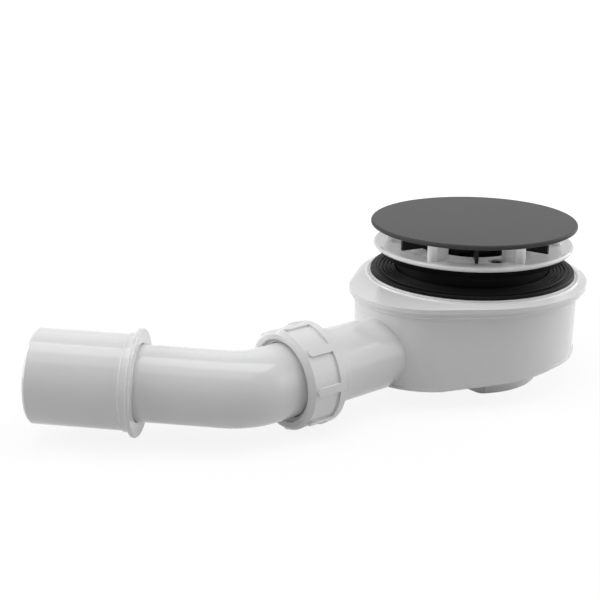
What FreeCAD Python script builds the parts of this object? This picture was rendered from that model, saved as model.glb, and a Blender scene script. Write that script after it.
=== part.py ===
# Shower trap for a 90 mm waste hole, with a swivelling outlet elbow and a sleeve for 50 mm pipe.
# Millimetres. The drain axis is Z, the foot under the sump is at z = 0, and the spigot points along -X.
import FreeCAD, Part
import math
import os

V = FreeCAD.Vector
Z_AXIS = V(0, 0, 1)

# Fits and clearances
RUNNING_GAP = 0.05
SLIP_GAP = 0.3
SEAT_GAP = 0.1

# Heights above the foot
FLOOR_Z = 10.8
FLOOR_HIGH_Z = 17.2
SPIGOT_Z = 28.0
BOWL_RIM_LOW_Z = 53.1
LID_LOW_Z = 56.4
LID_EDGE_Z = 59.0
GASKET_SEAT_Z = 61.2
FLANGE_LOW_Z = 76.8
COVER_LOW_Z = 89.5

# Plan of the body: a circle round the drain joined to a smaller one towards the spigot
LOBE_X = -35.0
WALL_R = 61.0
WALL_LOBE_R = 42.0
BOWL_RIM_R = 64.0
BOWL_RIM_LOBE_R = 43.5
LID_R = 66.0
LID_LOBE_R = 45.0

# Bowl
BOWL_WALL = 2.4
WALL_DRAFT = 0.6
FLOOR_RAMP_LOW_X = -58.0
FLOOR_RAMP_HIGH_X = 4.0
FLOOR_LIP = 0.5
FLOOR_LIP_HEIGHT = 1.4
SUMP_R = 40.6
SUMP_CHORD_X = -24.5
SUMP_CORNER_R = 5.0
SUMP_EDGE_R = 1.2
SUMP_RIB_THICK = 1.4
SUMP_RIB_COUNT = 5
SUMP_RIB_SPREAD_DEG = 122.0

# Spigot and threaded socket of the bowl
SPIGOT_R = 20.4
SPIGOT_BORE_R = 17.8
SPIGOT_ROOT = 56.0
SPIGOT_ROOT_R = 17.0
SPIGOT_ROOT_TAPER = 6.0
SOCKET_START = 112.0
SOCKET_END = 134.4
SOCKET_R = 22.4
THREAD_R = 24.0
THREAD_START = 121.5
THREAD_PITCH = 2.4
THREAD_TURNS = 4
PIPE_STOP = 115.0
SOCKET_MOUTH_R = 21.5

# Outlet pipe and its swivel in the union
PIPE_R = 20.0
PIPE_WALL = 1.9
PIPE_IN = 116.0
BEND_START = 152.7
BEND_R = 28.0
BEND_DEG = 45.0
SWIVEL_DEG = 3.2
PIPE_RUN = 71.0

# Union nut, with its conical seal and slip washer
NUT_START = 120.5
NUT_END = 142.6
NUT_R = 26.8
NUT_COLLAR_R = 27.9
NUT_COLLAR_LENGTH = 4.4
NUT_HOLE_R = 22.2
NUT_FLANGE = 2.2
NUT_BEVEL = 1.9
NUT_RIBS = 8
NUT_RIB_FIRST_DEG = 1.0
NUT_RIB_WIDTH = 4.6
NUT_RIB_END = 139.6
CONE_SEAL_R = 23.7
CONE_SEAL_LENGTH = 4.4
SLIP_WASHER_THICK = 1.4

# Sleeve for 50 mm pipe
SLEEVE_R = 25.0
SLEEVE_START = 43.4
SLEEVE_END = 98.6
SLEEVE_WALL = 2.2
SLEEVE_COLLAR_R = 28.3
SLEEVE_COLLAR_THICK = 2.2
SLEEVE_BEAD_R = 25.7
SLEEVE_BEAD_LENGTH = 4.0
SLEEVE_SOCKET_LENGTH = 29.0
SLEEVE_SEAL_R = 22.6
SLEEVE_SEAL_INSET = 5.0
SLEEVE_SEAL_LENGTH = 6.0

# Lid
LID_PLATE = 2.5
LID_RING_R = 61.7
LID_RING_BASE_Z = 60.2
THROAT_R = 30.6
THROAT_WALL = 2.0
THROAT_LOW_Z = 52.6
NECK_R = 41.6
NECK_WALL = 2.2
NECK_TOP_Z = 70.6
BOSS_R = 4.6
BOSS_LOW_Z = 61.2
BOSS_WEB = 2.4

# Lower gasket with its concentric ribs
GASKET_R = 58.8
GASKET_THICK = 2.2
GASKET_RIB = 0.9
GASKET_RIB_COUNT = 5

# Upper seal: a lip under the flange and a skirt through the waste hole
SEAL_LIP_R = 54.3
SEAL_LIP_END_R = 52.0
SEAL_LIP_LOW_Z = 72.1
SEAL_LIP_THICK = 1.5
SEAL_SKIRT_R = 44.0
SEAL_SKIRT_WALL = 2.1
GASKET_BORE_R = SEAL_SKIRT_R + 0.4
SEAL_SKIRT_LOW_Z = 61.8

# Flange that clamps the shower tray
FLANGE_R = 57.3
FLANGE_EDGE = 2.5
FLANGE_FLOOR_Z = FLANGE_LOW_Z
FLANGE_FLOOR_R = 39.0
FLANGE_PLATE = 2.2
FLANGE_SPIGOT_R = 28.0
FLANGE_BORE_R = 25.6
FLANGE_SPIGOT_LOW_Z = 67.0
POST_COUNT = 6
POST_FIRST_DEG = 15.5
POST_NOSE_AT = 47.3
POST_NOSE_R = 3.0
POST_WEB = 4.0
POST_WEB_IN = 33.0

# Clamp screws in threaded inserts
SCREW_COUNT = 3
SCREW_FIRST_DEG = -115.0
SCREW_CIRCLE_R = 35.4
SCREW_POCKET_R = 4.8
SCREW_POCKET_DEPTH = 2.6
SCREW_HEAD_R = 4.0
SCREW_HEAD = 2.2
SCREW_R = 2.5
SCREW_LENGTH = 11.0
SCREW_CROSS = 1.0
SCREW_CROSS_LENGTH = 4.4
SCREW_CROSS_DEPTH = 1.2
INSERT_R = 3.4
INSERT_LENGTH = 6.0
BOSS_TOP_Z = NECK_TOP_Z - 2.4

# Cover and the carrier under it
COVER_R = 59.0
COVER_THICK = 2.6
COVER_EDGE_R = 1.1
CARRIER_R = 51.0
CARRIER_THICK = 1.6
CARRIER_RING_R = 20.0
CARRIER_RING_WALL = 1.8
CARRIER_RING_LOW_Z = FLANGE_FLOOR_Z + 0.2
LEG_COUNT = 12
LEG_WIDTH = 3.3
LEG_LOW_Z = FLANGE_FLOOR_Z - 2.0
LATCH_COUNT = 3
LATCH_WIDTH = 4.0
LATCH_LOW_Z = FLANGE_FLOOR_Z - 6.2
LATCH_FROM_SCREW_DEG = 20.0
FIN_THICK = 1.9
FIN_R = 47.0
FIN_STEP_R = 34.3
FIN_FOOT_R = 30.5
FIN_LOW_Z = FLANGE_FLOOR_Z + 2.1
FIN_FOOT_Z = FLANGE_FLOOR_Z + 0.4

# Strainer in the throat of the flange
STRAINER_RIM_R = 24.9
STRAINER_BORE_R = 21.6
STRAINER_RIM_THICK = 1.6
STRAINER_DEPTH = 7.0
STRAINER_WALL = 1.6
STRAINER_HOLE_R = 2.1
STRAINER_RING_RADII = (6.6, 12.6, 18.2)
STRAINER_RING_COUNTS = (6, 12, 18)

# Dip tube, its ring seal and the water cup
DIP_R = 24.0
DIP_WALL = 1.8
DIP_LOW_Z = 22.4
DIP_LEDGE_Z = 63.6
DIP_LEDGE_R = 30.2
DIP_LEDGE_THICK = 3.2
DIP_SEAL_WIRE = 1.5
CUP_R = 37.0
CUP_WALL = 1.8
CUP_TOP_Z = 53.0
CUP_GUIDES = 4
CUP_GUIDE_THICK = 1.6
CUP_GUIDE_HEIGHT = 26.0


def turned(profile, base=V(0, 0, 0), axis=Z_AXIS):
    """A solid turned about an axis from (radius, height) points."""
    points = [V(r, 0, z) for r, z in profile]
    face = Part.Face(Part.makePolygon(points + [points[0]]))
    return face.revolve(base, axis, 360)


def tube(outer, inner, low, high):
    """A plain ring between two heights."""
    ring = Part.makeCylinder(outer, high - low, V(0, 0, low))
    return ring.cut(Part.makeCylinder(inner, high - low, V(0, 0, low)))


def round_the_drain(shape, count, first_deg):
    """Copies of a shape evenly spaced about Z, the first one turned to first_deg."""
    copies = []
    for index in range(count):
        copy = shape.copy()
        copy.rotate(V(0, 0, 0), Z_AXIS, first_deg + index * 360.0 / count)
        copies.append(copy)
    return copies


def fused(first, others):
    """One solid from overlapping shapes."""
    return first.fuse(others).removeSplitter()


def outlet_placed(shape):
    """Takes a shape from the union's own frame, where Z runs out of the spigot, to the part's frame."""
    placement = FreeCAD.Placement(V(0, 0, SPIGOT_Z), FreeCAD.Rotation(V(0, 1, 0), -90))
    shape.Placement = placement.multiply(shape.Placement)
    return shape


def swivelled(shape):
    """Turns an outlet piece about the spigot, from the level bend to the way it is set."""
    placement = FreeCAD.Placement(V(0, 0, 0), FreeCAD.Rotation(Z_AXIS, -SWIVEL_DEG))
    shape.Placement = placement.multiply(shape.Placement)
    return outlet_placed(shape)


def past_bend(shape):
    """Moves a shape built along Z to the straight run after the bend."""
    turn = math.radians(BEND_DEG)
    corner = V(0, BEND_R * (1 - math.cos(turn)), BEND_START + BEND_R * math.sin(turn))
    placement = FreeCAD.Placement(corner, FreeCAD.Rotation(V(1, 0, 0), -BEND_DEG))
    shape.Placement = placement.multiply(shape.Placement)
    return shape


def plan_wire(drain_r, lobe_r, z):
    """The body's outline at one height: two arcs joined by their common tangents."""
    tangent = math.acos((drain_r - lobe_r) / -LOBE_X)
    up = V(math.cos(math.pi - tangent), math.sin(math.pi - tangent), 0)
    down = V(up.x, -up.y, 0)
    level = V(0, 0, z)
    lobe = V(LOBE_X, 0, z)
    drain_arc = Part.Arc(down * drain_r + level, V(drain_r, 0, z), up * drain_r + level)
    lobe_arc = Part.Arc(up * lobe_r + lobe, V(LOBE_X - lobe_r, 0, z), down * lobe_r + lobe)
    return Part.Wire([
        drain_arc.toShape(),
        Part.LineSegment(up * drain_r + level, up * lobe_r + lobe).toShape(),
        lobe_arc.toShape(),
        Part.LineSegment(down * lobe_r + lobe, down * drain_r + level).toShape(),
    ])


def plan_prism(drain_r, lobe_r, low, high):
    """The outline raised between two heights."""
    return Part.Face(plan_wire(drain_r, lobe_r, low)).extrude(V(0, 0, high - low))


def ring_wire(radius, z):
    """A circle in four arcs that match the four edges of plan_wire."""
    tangent = math.acos((LID_R - LID_LOBE_R) / -LOBE_X)
    spread = math.radians(4)
    stops = [-(math.pi - tangent) + spread, math.pi - tangent - spread,
             math.pi - tangent + spread, math.pi + tangent - spread]
    stops.append(stops[0] + 2 * math.pi)
    edges = []
    for start, end in zip(stops[:-1], stops[1:]):
        points = [V(radius * math.cos(a), radius * math.sin(a), z)
                  for a in (start, (start + end) / 2, end)]
        edges.append(Part.Arc(*points).toShape())
    return Part.Wire(edges)


def edges_at(shape, z):
    """The edges of a shape that lie level at one height."""
    return [e for e in shape.Edges if abs(e.BoundBox.ZMin - z) < 1e-4 and abs(e.BoundBox.ZMax - z) < 1e-4]


def under_floor(raised):
    """The room under the bowl's floor, which rises from the spigot's side to the far side."""
    low = FLOOR_Z + raised
    high = FLOOR_HIGH_Z + raised
    reach = 2 * LID_R
    points = [V(FLOOR_RAMP_LOW_X, -reach, low), V(FLOOR_RAMP_HIGH_X, -reach, high), V(reach, -reach, high),
              V(reach, -reach, 0), V(FLOOR_RAMP_LOW_X, -reach, 0)]
    return Part.Face(Part.makePolygon(points + [points[0]])).extrude(V(0, 2 * reach, 0))


def floor_lip():
    """The low lip that stands out round the bottom of the bowl's wall and follows the floor."""
    reach = 2 * LID_R
    band = plan_prism(WALL_R - WALL_DRAFT + FLOOR_LIP, WALL_LOBE_R - WALL_DRAFT + FLOOR_LIP,
                      FLOOR_Z, FLOOR_HIGH_Z + FLOOR_LIP_HEIGHT)
    level_end = Part.makeBox(reach, 2 * reach, FLOOR_LIP_HEIGHT, V(FLOOR_RAMP_LOW_X - reach, -reach, FLOOR_Z))
    rising = under_floor(FLOOR_LIP_HEIGHT).cut(under_floor(0))
    return band.common(level_end.fuse(rising))


def sump_face(radius, chord_x, corner_r, z):
    """The sump's plan: a circle cut off by a chord on the spigot's side, with rounded corners."""
    disc = Part.makeCylinder(radius, 1, V(0, 0, z))
    keep = Part.makeBox(2 * radius, 2 * radius, 1, V(chord_x, -radius, z))
    half = disc.common(keep)
    uprights = [e for e in half.Edges if e.BoundBox.ZLength > 0.5 and abs(e.BoundBox.XMin - chord_x) < 0.01]
    half = half.makeFillet(corner_r, uprights)
    return [f for f in half.Faces if f.BoundBox.ZMax < z + 0.01][0]


def sump_prism(inset, low, high):
    """The sump's plan, inset by a wall, raised between two heights."""
    face = sump_face(SUMP_R - inset, SUMP_CHORD_X + inset, SUMP_CORNER_R, low)
    return face.extrude(V(0, 0, high - low))


def trap_bowl():
    """The lower shell: drafted wall, welding rim, sump, and the spigot with its threaded socket."""
    shell = Part.makeLoft([plan_wire(WALL_R - WALL_DRAFT, WALL_LOBE_R - WALL_DRAFT, FLOOR_Z),
                           plan_wire(WALL_R, WALL_LOBE_R, LID_LOW_Z)], True, True)
    rim = plan_prism(BOWL_RIM_R, BOWL_RIM_LOBE_R, BOWL_RIM_LOW_Z, LID_LOW_Z)
    rim = rim.makeChamfer(0.7, edges_at(rim, BOWL_RIM_LOW_Z))
    sump = sump_prism(0, 0, FLOOR_HIGH_Z + BOWL_WALL)
    sump = sump.makeFillet(SUMP_EDGE_R, edges_at(sump, 0))
    rib = Part.makeBox(2.0, SUMP_RIB_THICK, FLOOR_HIGH_Z + 1.0 - SUMP_EDGE_R,
                       V(SUMP_R - 1.0, -SUMP_RIB_THICK / 2, SUMP_EDGE_R))
    ribs = []
    for index in range(SUMP_RIB_COUNT):
        copy = rib.copy()
        copy.rotate(V(0, 0, 0), Z_AXIS, SUMP_RIB_SPREAD_DEG * (2.0 * index / (SUMP_RIB_COUNT - 1) - 1))
        ribs.append(copy)
    spigot = outlet_placed(spigot_outside())
    body = fused(shell.cut(under_floor(0)), [floor_lip(), spigot, rim, sump] + ribs)

    floor_in = FLOOR_Z + BOWL_WALL
    hollow = Part.makeLoft([plan_wire(WALL_R - WALL_DRAFT - BOWL_WALL, WALL_LOBE_R - WALL_DRAFT - BOWL_WALL, floor_in),
                            plan_wire(WALL_R - BOWL_WALL, WALL_LOBE_R - BOWL_WALL, LID_LOW_Z)], True, True)
    hollow = hollow.cut(under_floor(BOWL_WALL))
    sump_hollow = sump_prism(BOWL_WALL, BOWL_WALL, FLOOR_HIGH_Z + BOWL_WALL + 1.0)
    return body.cut([hollow, sump_hollow, outlet_placed(spigot_bore())])


def spigot_outside():
    """The spigot's root, tube, socket and round thread, along Z of the union's frame."""
    profile = [(0, SPIGOT_ROOT), (SPIGOT_ROOT_R, SPIGOT_ROOT), (SPIGOT_R, SPIGOT_ROOT + SPIGOT_ROOT_TAPER),
               (SPIGOT_R, SOCKET_START), (SOCKET_R, SOCKET_START + 1.0), (SOCKET_R, THREAD_START)]
    for turn in range(THREAD_TURNS):
        base = THREAD_START + turn * THREAD_PITCH
        profile += [(THREAD_R, base + 0.6), (THREAD_R, base + 1.2), (SOCKET_R, base + 1.8), (SOCKET_R, base + THREAD_PITCH)]
    profile += [(SOCKET_R, SOCKET_END), (0, SOCKET_END)]
    return turned(profile)


def spigot_bore():
    """The waterway of the spigot and the socket that takes the pipe."""
    pipe_fit = PIPE_R + SLIP_GAP
    start = SPIGOT_ROOT + SPIGOT_ROOT_TAPER
    return turned([(0, start), (SPIGOT_BORE_R, start), (SPIGOT_BORE_R, PIPE_STOP), (pipe_fit, PIPE_STOP),
                   (pipe_fit, SOCKET_END - 1.0), (SOCKET_MOUTH_R, SOCKET_END), (0, SOCKET_END)])


def trap_lid():
    """The upper shell: welded edge, cone up to the gasket ring, neck, throat and screw bosses."""
    edge = plan_prism(LID_R, LID_LOBE_R, LID_LOW_Z, LID_EDGE_Z)
    cone = Part.makeLoft([plan_wire(LID_R, LID_LOBE_R, LID_EDGE_Z), ring_wire(LID_RING_R, LID_RING_BASE_Z)], True, True)
    seat_low = GASKET_SEAT_Z - LID_PLATE
    ring = turned([(0, seat_low - 1), (LID_RING_R, seat_low - 1), (LID_RING_R, LID_RING_BASE_Z),
                   (LID_RING_R - 0.5, LID_RING_BASE_Z + 0.8), (LID_RING_R - 1.3, LID_RING_BASE_Z + 0.8),
                   (LID_RING_R - 1.5, LID_RING_BASE_Z + 0.2), (LID_RING_R - 1.9, LID_RING_BASE_Z + 0.2),
                   (LID_RING_R - 2.1, GASKET_SEAT_Z + 0.5), (GASKET_R + SEAT_GAP, GASKET_SEAT_Z + 0.5),
                   (GASKET_R + SEAT_GAP, GASKET_SEAT_Z), (0, GASKET_SEAT_Z)])
    neck = Part.makeCylinder(NECK_R, NECK_TOP_Z - seat_low, V(0, 0, seat_low))
    throat = Part.makeCylinder(THROAT_R + THROAT_WALL, GASKET_SEAT_Z - THROAT_LOW_Z, V(0, 0, THROAT_LOW_Z))
    body = fused(edge, [cone, ring, neck, throat])

    under = turned([(0, LID_LOW_Z - 1), (WALL_R - BOWL_WALL, LID_LOW_Z - 1), (WALL_R - BOWL_WALL, LID_LOW_Z),
                    (WALL_R - BOWL_WALL - 1.0, seat_low), (THROAT_R + THROAT_WALL, seat_low),
                    (THROAT_R + THROAT_WALL, THROAT_LOW_Z - 1), (0, THROAT_LOW_Z - 1)])
    lobe_inset = BOWL_WALL + 1.0
    under_lobe = plan_prism(WALL_R - lobe_inset, WALL_LOBE_R - lobe_inset, LID_LOW_Z - 1, LID_EDGE_Z - LID_PLATE + 1.2)
    under_lobe = under_lobe.cut(Part.makeCylinder(THROAT_R + THROAT_WALL, 10, V(0, 0, LID_LOW_Z - 2)))
    throat_tube = tube(THROAT_R + THROAT_WALL, THROAT_R, THROAT_LOW_Z, GASKET_SEAT_Z)
    inside = turned([(0, seat_low - 20), (THROAT_R, seat_low - 20), (THROAT_R, GASKET_SEAT_Z),
                     (NECK_R - NECK_WALL, GASKET_SEAT_Z), (NECK_R - NECK_WALL, NECK_TOP_Z), (0, NECK_TOP_Z)])
    body = body.cut([under, under_lobe, inside]).fuse(throat_tube)

    post = Part.makeCylinder(BOSS_R, BOSS_TOP_Z - BOSS_LOW_Z + 1, V(SCREW_CIRCLE_R, 0, BOSS_LOW_Z - 1))
    web = Part.makeBox(NECK_R - NECK_WALL / 2 - SCREW_CIRCLE_R, BOSS_WEB, BOSS_TOP_Z - BOSS_LOW_Z,
                       V(SCREW_CIRCLE_R, -BOSS_WEB / 2, BOSS_LOW_Z))
    hole = Part.makeCylinder(INSERT_R, INSERT_LENGTH, V(SCREW_CIRCLE_R, 0, BOSS_TOP_Z - INSERT_LENGTH))
    boss = post.fuse(web)
    body = fused(body, round_the_drain(boss, SCREW_COUNT, SCREW_FIRST_DEG))
    return body.cut(round_the_drain(hole, SCREW_COUNT, SCREW_FIRST_DEG)).removeSplitter()


def tray_gasket():
    """The lower gasket: a flat ring with a plain outer band and fine concentric ribs."""
    low = GASKET_SEAT_Z
    top = low + GASKET_THICK
    band = GASKET_R - 3.6
    pitch = (band - GASKET_BORE_R) / GASKET_RIB_COUNT
    profile = [(GASKET_BORE_R, low), (GASKET_R - 0.3, low), (GASKET_R, low + 0.4),
               (GASKET_R, top - 0.2), (GASKET_R - 0.5, top + 0.4), (band + 0.5, top + 0.4), (band, top)]
    for rib in range(GASKET_RIB_COUNT):
        outer = band - rib * pitch
        profile += [(outer - pitch * 0.35, top), (outer - pitch * 0.5, top + GASKET_RIB),
                    (outer - pitch * 0.7, top + GASKET_RIB), (outer - pitch * 0.9, top)]
    profile.append((GASKET_BORE_R, top))
    return turned(profile)


def upper_seal():
    """The black lip under the flange and the skirt that lines the waste hole."""
    top = FLANGE_LOW_Z
    skirt_in = SEAL_SKIRT_R - SEAL_SKIRT_WALL
    lip_under = top - SEAL_LIP_THICK
    lip_in = SEAL_LIP_END_R - SEAL_LIP_THICK
    return turned([(skirt_in, SEAL_SKIRT_LOW_Z), (SEAL_SKIRT_R, SEAL_SKIRT_LOW_Z), (SEAL_SKIRT_R, lip_under - 1.2),
                   (SEAL_SKIRT_R + 1.2, lip_under), (SEAL_LIP_R - 2.2 * SEAL_LIP_THICK, lip_under),
                   (lip_in + 0.6, lip_under - 0.8), (lip_in, SEAL_LIP_LOW_Z + 0.4), (lip_in + 0.4, SEAL_LIP_LOW_Z),
                   (SEAL_LIP_END_R - 0.3, SEAL_LIP_LOW_Z), (SEAL_LIP_END_R, SEAL_LIP_LOW_Z + 0.3),
                   (SEAL_LIP_R, top - 0.6), (SEAL_LIP_R, top), (skirt_in, top)])


def waste_flange():
    """The white clamping flange: dished plate, posts that carry the cover, screw pockets and throat."""
    edge_top = FLANGE_LOW_Z + FLANGE_EDGE
    floor_low = FLANGE_FLOOR_Z - FLANGE_PLATE
    inner = SEAL_SKIRT_R - SEAL_SKIRT_WALL - SEAT_GAP
    plate = turned([(FLANGE_BORE_R, FLANGE_SPIGOT_LOW_Z), (FLANGE_SPIGOT_R, FLANGE_SPIGOT_LOW_Z),
                    (FLANGE_SPIGOT_R, floor_low), (inner, floor_low), (inner, FLANGE_LOW_Z),
                    (FLANGE_R - 0.8, FLANGE_LOW_Z), (FLANGE_R, FLANGE_LOW_Z + 0.9), (FLANGE_R, edge_top - 0.7),
                    (FLANGE_R - 0.8, edge_top), (FLANGE_R - 2.6, edge_top - 0.1), (FLANGE_R - 8.0, edge_top - 0.9),
                    (FLANGE_FLOOR_R + 3.0, FLANGE_FLOOR_Z + 0.5), (FLANGE_FLOOR_R, FLANGE_FLOOR_Z),
                    (FLANGE_BORE_R + 0.8, FLANGE_FLOOR_Z), (FLANGE_BORE_R, FLANGE_FLOOR_Z - 0.8)])
    post_low = FLANGE_FLOOR_Z - 1.0
    post_top = COVER_LOW_Z - CARRIER_THICK
    nose = Part.makeCylinder(POST_NOSE_R, post_top - post_low, V(POST_NOSE_AT, 0, post_low))
    web = Part.makeBox(POST_NOSE_AT - POST_WEB_IN, POST_WEB, post_top - post_low, V(POST_WEB_IN, -POST_WEB / 2, post_low))
    posts = round_the_drain(nose.fuse(web), POST_COUNT, POST_FIRST_DEG)
    pocket_low = FLANGE_FLOOR_Z - SCREW_POCKET_DEPTH
    pocket_ring = Part.makeCylinder(SCREW_POCKET_R + 1.4, FLANGE_FLOOR_Z - pocket_low + 1.8,
                                    V(SCREW_CIRCLE_R, 0, pocket_low - 1.8))
    clear = COVER_LOW_Z - FLANGE_FLOOR_Z
    pocket = Part.makeCylinder(SCREW_POCKET_R, SCREW_POCKET_DEPTH + clear, V(SCREW_CIRCLE_R, 0, pocket_low))
    shank = Part.makeCylinder(SCREW_R + 0.4, 2 * SCREW_LENGTH, V(SCREW_CIRCLE_R, 0, pocket_low - SCREW_LENGTH))
    cuts = round_the_drain(pocket, SCREW_COUNT, SCREW_FIRST_DEG) + round_the_drain(shank, SCREW_COUNT, SCREW_FIRST_DEG)
    pockets = round_the_drain(pocket_ring, SCREW_COUNT, SCREW_FIRST_DEG)
    under_plate = tube(FLANGE_R, inner, post_low - 1, FLANGE_LOW_Z)
    posts_clear = [post.cut(cuts + [under_plate]) for post in posts]
    return fused(fused(plate, pockets).cut(cuts), posts_clear)


def flange_screws():
    """The clamp screws: pan heads with a cross recess, seated in the flange's pockets."""
    seat = FLANGE_FLOOR_Z - SCREW_POCKET_DEPTH
    head = turned([(0, seat), (SCREW_HEAD_R, seat), (SCREW_HEAD_R, seat + 0.9), (SCREW_HEAD_R - 1.0, seat + SCREW_HEAD),
                   (0, seat + SCREW_HEAD)])
    shank = turned([(0, seat + 0.5), (SCREW_R, seat + 0.5), (SCREW_R, seat - SCREW_LENGTH + 1.0),
                    (SCREW_R - 1.0, seat - SCREW_LENGTH), (0, seat - SCREW_LENGTH)])
    slot = Part.makeBox(SCREW_CROSS_LENGTH, SCREW_CROSS, SCREW_CROSS_DEPTH,
                        V(-SCREW_CROSS_LENGTH / 2, -SCREW_CROSS / 2, seat + SCREW_HEAD - SCREW_CROSS_DEPTH))
    across = slot.copy()
    across.rotate(V(0, 0, 0), Z_AXIS, 90)
    screw = head.fuse(shank).removeSplitter().cut([slot, across])
    screw.translate(V(SCREW_CIRCLE_R, 0, 0))
    return Part.makeCompound(round_the_drain(screw, SCREW_COUNT, SCREW_FIRST_DEG))


def thread_inserts():
    """The brass inserts that the clamp screws bite into, pressed into the lid's bosses."""
    insert = tube(INSERT_R, SCREW_R + RUNNING_GAP, BOSS_TOP_Z - INSERT_LENGTH, BOSS_TOP_Z)
    insert.translate(V(SCREW_CIRCLE_R, 0, 0))
    return Part.makeCompound(round_the_drain(insert, SCREW_COUNT, SCREW_FIRST_DEG))


def cover_plate():
    """The round cover with its softened edge."""
    disc = Part.makeCylinder(COVER_R, COVER_THICK, V(0, 0, COVER_LOW_Z))
    return disc.makeFillet(COVER_EDGE_R, edges_at(disc, COVER_LOW_Z + COVER_THICK) + edges_at(disc, COVER_LOW_Z))


def cover_carrier():
    """The black carrier under the cover: disc, ring, radial fins, legs and latches."""
    top = COVER_LOW_Z
    low = top - CARRIER_THICK
    root = low + CARRIER_THICK / 3
    disc = turned([(0, low), (CARRIER_R, low), (CARRIER_R - 0.8, top), (0, top)])
    ring_in = CARRIER_RING_R - CARRIER_RING_WALL
    ring = tube(CARRIER_RING_R, ring_in, CARRIER_RING_LOW_Z, root)
    leg = Part.makeBox(CARRIER_RING_WALL, LEG_WIDTH, root - LEG_LOW_Z, V(ring_in, -LEG_WIDTH / 2, LEG_LOW_Z))
    legs = round_the_drain(leg, LEG_COUNT, POST_FIRST_DEG)
    latch = Part.makeBox(CARRIER_RING_WALL, LATCH_WIDTH, root - LATCH_LOW_Z,
                         V(FLANGE_BORE_R - CARRIER_RING_WALL - SLIP_GAP, -LATCH_WIDTH / 2, LATCH_LOW_Z))
    latches = round_the_drain(latch, LATCH_COUNT, SCREW_FIRST_DEG + LATCH_FROM_SCREW_DEG)
    side = -FIN_THICK / 2
    corners = [V(CARRIER_RING_R - CARRIER_RING_WALL / 2, side, FIN_FOOT_Z), V(FIN_FOOT_R, side, FIN_FOOT_Z),
               V(FIN_STEP_R, side, FIN_LOW_Z), V(FIN_R, side, FIN_LOW_Z), V(FIN_R, side, root),
               V(CARRIER_RING_R - CARRIER_RING_WALL / 2, side, root)]
    fin = Part.Face(Part.makePolygon(corners + [corners[0]])).extrude(V(0, FIN_THICK, 0))
    fins = round_the_drain(fin, POST_COUNT, POST_FIRST_DEG + 180.0 / POST_COUNT)
    return fused(disc, [ring] + legs + latches + fins)


def hair_strainer():
    """The strainer basket that hangs in the flange's throat, with rings of round holes."""
    top = DIP_LEDGE_Z + DIP_LEDGE_THICK + RUNNING_GAP + STRAINER_RIM_THICK
    low = top - STRAINER_DEPTH
    basket = turned([(0, low), (STRAINER_BORE_R - 1.6, low), (STRAINER_BORE_R, low + 1.2),
                     (STRAINER_BORE_R + 0.2, top - STRAINER_RIM_THICK), (STRAINER_RIM_R, top - STRAINER_RIM_THICK),
                     (STRAINER_RIM_R, top), (STRAINER_BORE_R - STRAINER_WALL, top),
                     (STRAINER_BORE_R - STRAINER_WALL - 0.8, low + STRAINER_WALL), (0, low + STRAINER_WALL)])
    holes = []
    through = 3 * STRAINER_WALL
    for radius, count in zip(STRAINER_RING_RADII, STRAINER_RING_COUNTS):
        hole = Part.makeCylinder(STRAINER_HOLE_R, through, V(radius, 0, low - STRAINER_WALL))
        holes += round_the_drain(hole, count, 0)
    holes.append(Part.makeCylinder(STRAINER_HOLE_R, through, V(0, 0, low - STRAINER_WALL)))
    return basket.cut(holes)


def dip_tube():
    """The lift-out dip tube: ledge in the lid's throat, seal groove and the tube into the water."""
    ledge_top = DIP_LEDGE_Z + DIP_LEDGE_THICK
    bore = DIP_R - DIP_WALL
    groove_mid = DIP_LEDGE_Z - 1.0
    groove_in = DIP_LEDGE_R - 2 * DIP_SEAL_WIRE + SLIP_GAP
    return turned([(bore, DIP_LOW_Z), (DIP_R - 0.4, DIP_LOW_Z), (DIP_R, DIP_LOW_Z + 2.0), (DIP_R, groove_mid - 4.6),
                   (DIP_LEDGE_R, groove_mid - 4.0), (DIP_LEDGE_R, groove_mid - DIP_SEAL_WIRE - 0.2),
                   (groove_in, groove_mid - DIP_SEAL_WIRE - 0.2), (groove_in, groove_mid + DIP_SEAL_WIRE + 0.2),
                   (DIP_LEDGE_R, groove_mid + DIP_SEAL_WIRE + 0.2), (DIP_LEDGE_R, ledge_top - 0.6),
                   (DIP_LEDGE_R - 0.6, ledge_top), (bore + 0.6, ledge_top), (bore, ledge_top - 0.6)])


def dip_tube_seal():
    """The ring seal in the dip tube's groove."""
    mid = DIP_LEDGE_Z - 1.0
    centre = DIP_LEDGE_R - DIP_SEAL_WIRE + SLIP_GAP + RUNNING_GAP
    return Part.makeTorus(centre, DIP_SEAL_WIRE, V(0, 0, mid), Z_AXIS)


def water_cup():
    """The lift-out water cup: a round wall over a well that fits the sump, with guide ribs for the dip tube."""
    well_low = BOWL_WALL + RUNNING_GAP
    step = FLOOR_HIGH_Z + BOWL_WALL + RUNNING_GAP
    well_inset = BOWL_WALL + SLIP_GAP
    round_wall = Part.makeCylinder(CUP_R, CUP_TOP_Z - step, V(0, 0, step))
    well = sump_prism(well_inset, well_low, step + CUP_WALL / 2)
    outside = fused(round_wall, [well])
    hollow = Part.makeCylinder(CUP_R - CUP_WALL, CUP_TOP_Z, V(0, 0, step + CUP_WALL))
    well_hollow = sump_prism(well_inset + CUP_WALL, well_low + CUP_WALL, step + CUP_WALL + 1)
    cup = outside.cut([hollow, well_hollow])
    guide_in = DIP_R + SLIP_GAP
    guide = Part.makeBox(CUP_R - CUP_WALL / 2 - guide_in, CUP_GUIDE_THICK, CUP_GUIDE_HEIGHT,
                         V(guide_in, -CUP_GUIDE_THICK / 2, step + CUP_WALL / 2))
    return fused(cup, round_the_drain(guide, CUP_GUIDES, 45))


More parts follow.
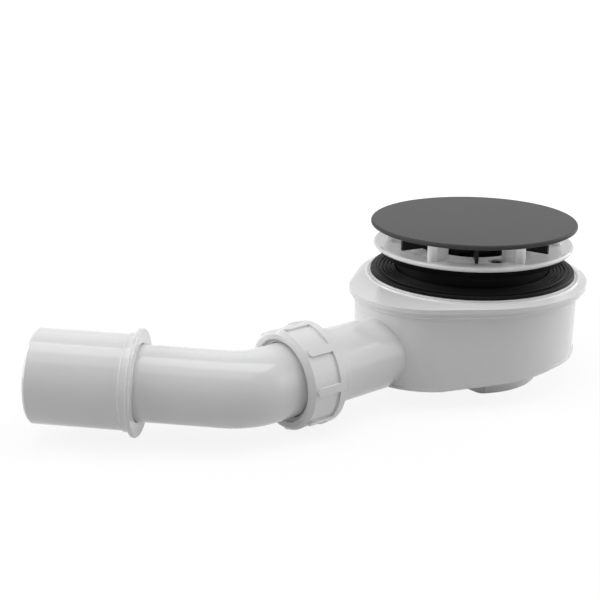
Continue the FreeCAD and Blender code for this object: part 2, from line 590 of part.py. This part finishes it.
def union_nut():
    """The ribbed union nut, along Z of the union's frame."""
    collar_end = NUT_START + NUT_COLLAR_LENGTH
    flange_in = NUT_END - NUT_FLANGE
    thread_fit = THREAD_R + SLIP_GAP
    body = turned([(thread_fit, NUT_START), (NUT_COLLAR_R - 0.5, NUT_START), (NUT_COLLAR_R, NUT_START + 0.5),
                   (NUT_COLLAR_R, collar_end), (NUT_R, collar_end), (NUT_R, NUT_END - NUT_BEVEL),
                   (NUT_R - NUT_BEVEL, NUT_END), (NUT_HOLE_R + 0.3, NUT_END), (NUT_HOLE_R, NUT_END - 0.3),
                   (NUT_HOLE_R, flange_in), (thread_fit, flange_in)])
    rib_length = NUT_RIB_END - collar_end - NUT_RIB_WIDTH / 2
    height = NUT_COLLAR_R - NUT_R + 1.0
    bar = Part.makeBox(height + 1, NUT_RIB_WIDTH, rib_length + 0.5, V(NUT_R - 1, -NUT_RIB_WIDTH / 2, collar_end - 0.5))
    tip = Part.makeCylinder(NUT_RIB_WIDTH / 2, height + 1, V(NUT_R - 1, 0, collar_end + rib_length), V(1, 0, 0))
    limit = Part.makeCylinder(NUT_COLLAR_R, NUT_END - NUT_START, V(0, 0, NUT_START))
    rib = bar.fuse(tip).removeSplitter().common(limit)
    return outlet_placed(fused(body, round_the_drain(rib, NUT_RIBS, NUT_RIB_FIRST_DEG)))


def cone_seal():
    """The tapered rubber ring squeezed between the socket's mouth and the slip washer."""
    low = SOCKET_END + SEAT_GAP
    nose = SOCKET_MOUTH_R - 0.6
    bore = PIPE_R + RUNNING_GAP
    high = low + CONE_SEAL_LENGTH
    return outlet_placed(turned([(bore, low - 0.8), (nose, low - 0.2), (nose, low), (CONE_SEAL_R, low),
                                 (CONE_SEAL_R, high - 0.4), (CONE_SEAL_R - 0.4, high), (bore, high)]))


def slip_washer():
    """The plain washer that lets the nut turn on the seal."""
    low = SOCKET_END + SEAT_GAP + CONE_SEAL_LENGTH
    high = min(low + SLIP_WASHER_THICK, NUT_END - NUT_FLANGE - RUNNING_GAP)
    return outlet_placed(tube(CONE_SEAL_R, PIPE_R + SLIP_GAP, low, high))


def bent_pipe(radius, start, run):
    """A round bar along the elbow's centre line."""
    first = Part.makeCylinder(radius, BEND_START - start, V(0, 0, start))
    disc = Part.Face(Part.Wire(Part.makeCircle(radius, V(0, 0, BEND_START))))
    bend = disc.revolve(V(0, BEND_R, BEND_START), V(-1, 0, 0), BEND_DEG)
    last = past_bend(Part.makeCylinder(radius, run))
    return fused(first, [bend, last])


def outlet_elbow():
    """The 40 mm outlet pipe: a short leg in the union, the bend and a long leg into the sleeve."""
    outside = bent_pipe(PIPE_R, PIPE_IN, PIPE_RUN)
    inside = bent_pipe(PIPE_R - PIPE_WALL, PIPE_IN, PIPE_RUN)
    return swivelled(outside.cut(inside))


def reducer_sleeve():
    """The sleeve from 40 to 50 mm pipe: stop collar, bead, socket with seal groove and open end."""
    start = SLEEVE_START
    bore = PIPE_R + SLIP_GAP
    wide = SLEEVE_R - SLEEVE_WALL
    collar_end = start + SLEEVE_COLLAR_THICK
    groove = start + SLEEVE_SEAL_INSET
    socket_end = start + SLEEVE_SOCKET_LENGTH
    profile = [(bore, start + 0.8), (bore + 0.8, start), (SLEEVE_COLLAR_R - 0.6, start), (SLEEVE_COLLAR_R, start + 0.6),
               (SLEEVE_COLLAR_R, collar_end - 0.3), (SLEEVE_COLLAR_R - 0.3, collar_end), (SLEEVE_BEAD_R, collar_end),
               (SLEEVE_BEAD_R, collar_end + SLEEVE_BEAD_LENGTH), (SLEEVE_R, collar_end + SLEEVE_BEAD_LENGTH + 0.5),
               (SLEEVE_R, SLEEVE_END - 1.2), (SLEEVE_R - 0.9, SLEEVE_END), (wide, SLEEVE_END),
               (wide, socket_end + 2.0), (bore, socket_end), (bore, groove + SLEEVE_SEAL_LENGTH),
               (SLEEVE_SEAL_R, groove + SLEEVE_SEAL_LENGTH), (SLEEVE_SEAL_R, groove), (bore, groove)]
    return swivelled(past_bend(turned(profile)))


def sleeve_seal():
    """The lip seal in the sleeve's groove, round the pipe."""
    low = SLEEVE_START + SLEEVE_SEAL_INSET + SEAT_GAP
    high = low + SLEEVE_SEAL_LENGTH - 2 * SEAT_GAP
    outer = SLEEVE_SEAL_R - RUNNING_GAP
    bore = PIPE_R + RUNNING_GAP
    profile = [(outer, low), (outer, high), (outer - 1.0, high), (outer - 1.2, low + 2.4), (bore + 0.5, high - 1.2),
               (bore, high - 1.6), (bore + 0.2, low + 1.2), (outer - 1.6, low)]
    return swivelled(past_bend(turned(profile)))


PIECES = {
    "cover_plate": cover_plate,
    "cover_carrier": cover_carrier,
    "waste_flange": waste_flange,
    "flange_screws": flange_screws,
    "thread_inserts": thread_inserts,
    "upper_seal": upper_seal,
    "tray_gasket": tray_gasket,
    "hair_strainer": hair_strainer,
    "trap_lid": trap_lid,
    "trap_bowl": trap_bowl,
    "dip_tube": dip_tube,
    "dip_tube_seal": dip_tube_seal,
    "water_cup": water_cup,
    "union_nut": union_nut,
    "cone_seal": cone_seal,
    "slip_washer": slip_washer,
    "outlet_elbow": outlet_elbow,
    "reducer_sleeve": reducer_sleeve,
    "sleeve_seal": sleeve_seal,
}


def main():
    os.makedirs("parts", exist_ok=True)
    for name, make in PIECES.items():
        shape = make()
        shape.exportStep(os.path.join("parts", name + ".step"))
        print(name, "solids", len(shape.Solids), "valid", shape.isValid(), "volume", round(shape.Volume))


main()
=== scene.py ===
# Looks of a low shower trap: a satin grey cover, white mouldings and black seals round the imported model.
import math

import bpy
from mathutils import Matrix, Vector

MM = 0.001

# Camera, in the part's frame: its place in metres, its right-hand side, and how far down it looks
CAMERA_AT = (-0.50385, -0.45711, 0.26012)
CAMERA_RIGHT = (0.77359, -0.63369, 0.0)
CAMERA_PITCH_DEG = 17.87
CAMERA_LENS_MM = 72.0
SENSOR_MM = 36.0

# Light: the world's level for soft light, the point that the lamps face, and the lamps. Each lamp has its name,
# its side and height angles in degrees, its distance, width and height in metres, and its watts
SOFT_LEVEL = 0.10
AIM_AT = (-0.08, 0.02, 0.045)
LAMPS = (
    ("overhead", 0, 88, 1.0, 1.2, 0.5, 4.9),
    ("overhead_front", 0, 62, 1.1, 1.0, 0.5, 1.7),
    ("right", 92, 15, 1.1, 0.9, 0.8, 2.5),
    ("right_back", 122, 18, 1.1, 0.9, 0.9, 5.7),
    ("left", -95, 14, 1.2, 0.8, 0.8, 6.2),
    ("left_front", -60, 30, 1.2, 0.7, 0.7, 2.4),
    ("back", 180, 45, 1.2, 1.2, 0.6, 0.8),
)

# A lighting aid with no real counterpart: a dim disc under the cover that lights the flange, where the lamps don't
# reach. Its height, diameter and watts
GAP_FILL_Z = 87.3 * MM
GAP_FILL_SIZE = 112.0 * MM
GAP_FILL_WATTS = 0.018

# Floor: its side in metres, the shaded floor's grey and its share near the trap, the distances in metres between
# which that share falls to none, and the strength of the white glow
FLOOR_SIZE = 14.0
FLOOR_GREY = 0.62
SHADOW_SHARE = 0.22
SHADOW_START = 0.2
SHADOW_REACH = 0.5
FLOOR_GLOW = 1.12

# Finishes: base levels, from 0 for black to 1 for white, the roughness that the patterns add to, and the radius in
# metres that edges are shaded with
WHITE_LEVEL = 0.79
WHITE_ROUGH = 0.04
WHITE_EDGE = 0.35 * MM
PIPE_ROUGH = 0.02
PIPE_EDGE = 0.3 * MM
COVER_LEVELS = (0.066, 0.078)
COVER_ROUGH = 0.30
BLACK_LEVELS = (0.005, 0.009)
BLACK_ROUGH = 0.36
RUBBER_LEVELS = (0.003, 0.006)
RUBBER_ROUGH = 0.40
GREY_LEVEL = 0.42
NATURAL_LEVEL = 0.7
INSIDE_ROUGH = 0.36
STEEL_COLOUR = (0.62, 0.61, 0.6)
STEEL_ROUGH = 0.24
BRASS_COLOUR = (0.72, 0.55, 0.26)
BRASS_ROUGH = 0.28

# The share of its colour that metal keeps where it's dull, and the number of rays that find an edge to round
DULL_METAL = 0.86
EDGE_SAMPLES = 6


class Socket:
    """A shader socket that stands in Python expressions: each operator adds its Math node."""

    def __init__(self, paint, socket):
        self.paint = paint
        self.socket = socket

    def __add__(self, other):
        return self.paint.maths("ADD", self, other)

    def __radd__(self, other):
        return self.paint.maths("ADD", other, self)

    def __sub__(self, other):
        return self.paint.maths("SUBTRACT", self, other)

    def __rsub__(self, other):
        return self.paint.maths("SUBTRACT", other, self)

    def __mul__(self, other):
        return self.paint.maths("MULTIPLY", self, other)

    def __rmul__(self, other):
        return self.paint.maths("MULTIPLY", other, self)


class Paint:
    """The nodes of one material or of the world."""

    def __init__(self, tree):
        self.tree = tree
        tree.nodes.clear()

    def add(self, kind, settings, sockets, output=0):
        """Adds a node: first its settings, then the values or links of its sockets."""
        node = self.tree.nodes.new(kind)
        for name, value in settings.items():
            setattr(node, name, value)
        for name, value in sockets.items():
            self.feed(self.find(node, name), value)
        return Socket(self, node.outputs[output]) if node.outputs else None

    def find(self, node, name):
        """The input with that number, or the enabled input with that name or identifier."""
        if isinstance(name, int):
            return node.inputs[name]
        return next(s for s in node.inputs if s.enabled and name in (s.name, s.identifier))

    def feed(self, slot, value):
        """Links a socket to an input, or sets the input's value."""
        if isinstance(value, Socket):
            self.tree.links.new(value.socket, slot)
        else:
            slot.default_value = value

    def maths(self, operation, *values):
        return self.add("ShaderNodeMath", {"operation": operation}, dict(enumerate(values)))

    def place(self):
        """The point on the object, in the object's own frame."""
        return self.add("ShaderNodeTexCoord", {}, {}, "Object")

    def noise(self, point, waves, detail=3.0, rough=0.55):
        """Cloudy noise from 0 to 1 with that many waves to the metre."""
        return self.add("ShaderNodeTexNoise", {}, {"Vector": point, "Scale": waves, "Detail": detail,
                                                   "Roughness": rough}, "Fac")

    def blend(self, share, first, second):
        """A colour between two others."""
        return self.add("ShaderNodeMix", {"data_type": "RGBA"},
                        {"Factor_Float": share, "A_Color": first, "B_Color": second}, "Result")

    def bump(self, height, depth, strength, edge):
        """A normal from a height in waves of that depth, over edges rounded by that radius, both in metres."""
        sockets = {"Height": height, "Distance": depth, "Strength": strength}
        sockets["Normal"] = self.add("ShaderNodeBevel", {"samples": EDGE_SAMPLES}, {"Radius": edge})
        return self.add("ShaderNodeBump", {}, sockets)

    def finish(self, shader):
        self.add("ShaderNodeOutputMaterial", {}, {"Surface": shader})

    def surface(self, colour, rough, normal, **constants):
        """The surface shader, with the values that stay the same all over set on its own sockets."""
        sockets = {"Base Color": colour, "Roughness": rough, "Normal": normal}
        sockets.update({name.replace("_", " "): value for name, value in constants.items()})
        self.finish(self.add("ShaderNodeBsdfPrincipled", {}, sockets))


def new_paint(name):
    """A new material and the paint for its nodes."""
    material = bpy.data.materials.new(name)
    material.use_nodes = True
    return material, Paint(material.node_tree)


def shade(level, warmth=0.0):
    """A grey of that level, a little warm above zero and a little cool below."""
    return (level * (1 + warmth), level, level * (1 - warmth), 1.0)


def moulded_white(name, rough, edge):
    """Semi-gloss white moulding: cloudy flow in the colour, patches in the gloss and a fine orange-peel skin."""
    material, paint = new_paint(name)
    point = paint.place()
    flow = paint.noise(point, waves=28.0)
    patches = paint.noise(point, waves=95.0, detail=2.0)
    skin = paint.noise(point, waves=1300.0, detail=2.0)
    colour = paint.blend(flow, shade(WHITE_LEVEL * 0.975, -0.004), shade(WHITE_LEVEL * 1.02, 0.002))
    gloss = rough + 0.03 * patches + 0.02 * skin
    height = skin + 0.8 * paint.noise(point, waves=260.0, detail=1.0)
    normal = paint.bump(height, depth=0.0015 * MM, strength=0.5, edge=edge)
    paint.surface(colour, gloss, normal, IOR=1.49)
    return material


def satin_cover(name):
    """Satin anthracite plastic: a fine grain, with faint clouds in its colour and gloss."""
    material, paint = new_paint(name)
    point = paint.place()
    cloud = paint.noise(point, waves=30.0)
    grain = paint.noise(point, waves=2600.0, detail=2.0)
    dark, pale = COVER_LEVELS
    colour = paint.blend(0.7 * cloud + 0.3 * grain, shade(dark, -0.01), shade(pale, 0.006))
    gloss = COVER_ROUGH + 0.08 * (cloud - 0.5) + 0.06 * grain
    height = grain + 2.0 * paint.noise(point, waves=700.0, detail=1.0)
    normal = paint.bump(height, depth=0.006 * MM, strength=0.5, edge=0.3 * MM)
    paint.surface(colour, gloss, normal, IOR=1.4, Specular_IOR_Level=0.05)
    return material


def moulded_black(name):
    """Black moulding with a faint sheen and a spark-textured skin."""
    material, paint = new_paint(name)
    point = paint.place()
    cloud = paint.noise(point, waves=60.0)
    skin = paint.noise(point, waves=1500.0, detail=2.0)
    dark, pale = BLACK_LEVELS
    colour = paint.blend(cloud, shade(dark), shade(pale, -0.02))
    gloss = BLACK_ROUGH + 0.1 * skin
    normal = paint.bump(skin, depth=0.012 * MM, strength=0.6, edge=0.25 * MM)
    paint.surface(colour, gloss, normal, IOR=1.45, Specular_IOR_Level=0.2)
    return material


def soft_rubber(name):
    """Black rubber: a dull bloom in patches over a satin skin."""
    material, paint = new_paint(name)
    point = paint.place()
    bloom = paint.noise(point, waves=75.0)
    skin = paint.noise(point, waves=1900.0)
    dark, pale = RUBBER_LEVELS
    colour = paint.blend(bloom, shade(dark), shade(pale, -0.01))
    gloss = RUBBER_ROUGH + 0.12 * (bloom - 0.5) + 0.08 * skin
    normal = paint.bump(skin, depth=0.01 * MM, strength=0.7, edge=0.2 * MM)
    paint.surface(colour, gloss, normal, IOR=1.4, Specular_IOR_Level=0.12)
    return material


def moulded_grey(name, level, warmth):
    """Pale plain plastic of the pieces inside."""
    material, paint = new_paint(name)
    point = paint.place()
    flow = paint.noise(point, waves=45.0)
    skin = paint.noise(point, waves=1100.0, detail=2.0)
    colour = paint.blend(flow, shade(level * 0.95, warmth), shade(level * 1.04, warmth))
    gloss = INSIDE_ROUGH + 0.08 * skin
    normal = paint.bump(skin, depth=0.008 * MM, strength=0.6, edge=0.3 * MM)
    paint.surface(colour, gloss, normal, IOR=1.48)
    return material


def plain_metal(name, colour, rough):
    """Plain metal with fine marks in its gloss and skin, duller in patches."""
    material, paint = new_paint(name)
    point = paint.place()
    marks = paint.noise(point, waves=900.0, detail=4.0, rough=0.7)
    dull = paint.noise(point, waves=160.0)
    tone = paint.blend(dull, tuple(c * DULL_METAL for c in colour) + (1.0,), colour + (1.0,))
    gloss = rough + 0.16 * marks
    normal = paint.bump(marks, depth=0.01 * MM, strength=0.5, edge=0.15 * MM)
    paint.surface(tone, gloss, normal, Metallic=1.0)
    return material


def dress(frame):
    """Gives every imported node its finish."""
    white = moulded_white("white_moulding", WHITE_ROUGH, WHITE_EDGE)
    pipe = moulded_white("white_pipe", PIPE_ROUGH, PIPE_EDGE)
    rubber = soft_rubber("black_rubber")
    black = moulded_black("black_moulding")
    grey = moulded_grey("grey_moulding", GREY_LEVEL, -0.02)
    finishes = {
        "cover_plate": satin_cover("satin_anthracite"), "cover_carrier": black, "hair_strainer": black,
        "waste_flange": white, "trap_lid": white, "trap_bowl": white, "union_nut": white,
        "outlet_elbow": pipe, "reducer_sleeve": pipe,
        "upper_seal": rubber, "tray_gasket": rubber, "dip_tube_seal": rubber, "cone_seal": rubber,
        "sleeve_seal": rubber, "dip_tube": grey, "water_cup": grey,
        "slip_washer": moulded_grey("natural_moulding", NATURAL_LEVEL, 0.03),
        "flange_screws": plain_metal("stainless", STEEL_COLOUR, STEEL_ROUGH),
        "thread_inserts": plain_metal("brass", BRASS_COLOUR, BRASS_ROUGH),
    }
    for name, thing in frame["nodes"].items():
        thing.data.materials.clear()
        thing.data.materials.append(finishes[name])


def make_camera():
    """The photograph's view: a camera without roll that looks down at the trap from the spigot's side."""
    data = bpy.data.cameras.new("camera")
    data.lens, data.sensor_width = CAMERA_LENS_MM, SENSOR_MM
    camera = bpy.data.objects.new("camera", data)
    bpy.context.scene.collection.objects.link(camera)
    bpy.context.scene.camera = camera
    right = Vector(CAMERA_RIGHT).normalized()
    pitch = math.radians(CAMERA_PITCH_DEG)
    level = Vector((0, 0, 1)).cross(right)
    forward = level * math.cos(pitch) - Vector((0, 0, math.sin(pitch)))
    up = right.cross(forward)
    camera.matrix_world = Matrix.Translation(CAMERA_AT) @ Matrix((right, up, -forward)).transposed().to_4x4()


def make_lamps():
    """Soft boxes round the trap. Side angles are counted from the camera's side, to the right."""
    towards_camera = math.atan2(CAMERA_AT[1], CAMERA_AT[0])
    for name, side, height, distance, wide, tall, watts in LAMPS:
        data = bpy.data.lights.new(name, "AREA")
        data.shape, data.size, data.size_y, data.energy = "RECTANGLE", wide, tall, watts
        lamp = bpy.data.objects.new(name, data)
        bpy.context.scene.collection.objects.link(lamp)
        turn, rise = towards_camera + math.radians(side), math.radians(height)
        away = Vector((math.cos(turn) * math.cos(rise), math.sin(turn) * math.cos(rise), math.sin(rise)))
        lamp.location = Vector(AIM_AT) + away * distance
        lamp.rotation_euler = (-away).to_track_quat("-Z", "Y").to_euler()


def make_gap_fill():
    """The dim disc under the cover. It shines down, and neither it nor its reflection is seen."""
    data = bpy.data.lights.new("gap_fill", "AREA")
    data.shape, data.size, data.energy = "DISK", GAP_FILL_SIZE, GAP_FILL_WATTS
    lamp = bpy.data.objects.new("gap_fill", data)
    bpy.context.scene.collection.objects.link(lamp)
    lamp.location = (0, 0, GAP_FILL_Z)
    lamp.visible_camera = lamp.visible_glossy = False


def seen_directly(paint):
    """1 for what the camera sees, also in a reflection or through glass, and 0 for the soft light."""
    rays = [paint.add("ShaderNodeLightPath", {}, {}, ray)
            for ray in ("Is Camera Ray", "Is Glossy Ray", "Is Transmission Ray")]
    return paint.add("ShaderNodeMath", {"operation": "ADD", "use_clamp": True},
                     {0: rays[0] + rays[1], 1: rays[2]})


def make_world():
    """White surroundings where they are seen, which give only the soft level of light."""
    world = bpy.data.worlds.new("studio")
    bpy.context.scene.world = world
    world.use_nodes = True
    paint = Paint(world.node_tree)
    level = SOFT_LEVEL + (1.0 - SOFT_LEVEL) * seen_directly(paint)
    background = paint.add("ShaderNodeBackground", {}, {"Color": shade(1.0), "Strength": level})
    paint.add("ShaderNodeOutputWorld", {}, {"Surface": background})


def make_floor():
    """A pale floor that keeps the trap's shadow near it and fades to white."""
    mesh = bpy.data.meshes.new("floor")
    half = FLOOR_SIZE / 2
    corners = [(-half, -half, 0), (half, -half, 0), (half, half, 0), (-half, half, 0)]
    mesh.from_pydata(corners, [], [(0, 1, 2, 3)])
    floor = bpy.data.objects.new("floor", mesh)
    bpy.context.scene.collection.objects.link(floor)
    material, paint = new_paint("floor")
    point = paint.place()
    reach = paint.add("ShaderNodeVectorMath", {"operation": "DISTANCE"}, {0: point, 1: AIM_AT}, "Value")
    near = paint.add("ShaderNodeMapRange", {"interpolation_type": "SMOOTHSTEP"},
                     {"Value": reach, "From Min": SHADOW_START, "From Max": SHADOW_REACH, "To Min": SHADOW_SHARE,
                      "To Max": 0.0}, "Result")
    share = seen_directly(paint) * (1.0 - near)
    matt = paint.add("ShaderNodeBsdfDiffuse", {}, {"Color": shade(FLOOR_GREY)})
    glow = paint.add("ShaderNodeEmission", {}, {"Color": shade(1.0), "Strength": FLOOR_GLOW})
    paint.finish(paint.add("ShaderNodeMixShader", {}, {0: share, 1: matt, 2: glow}))
    mesh.materials.append(material)


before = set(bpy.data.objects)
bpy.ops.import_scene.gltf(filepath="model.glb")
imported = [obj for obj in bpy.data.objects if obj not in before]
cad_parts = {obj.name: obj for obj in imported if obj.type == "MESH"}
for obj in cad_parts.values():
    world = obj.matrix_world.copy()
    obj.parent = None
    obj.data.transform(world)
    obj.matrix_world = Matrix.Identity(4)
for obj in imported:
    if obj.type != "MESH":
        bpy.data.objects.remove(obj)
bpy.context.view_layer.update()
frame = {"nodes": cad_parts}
bpy.context.scene.view_settings.view_transform = "Standard"
dress(frame)
make_camera()
make_lamps()
make_gap_fill()
make_world()
make_floor()
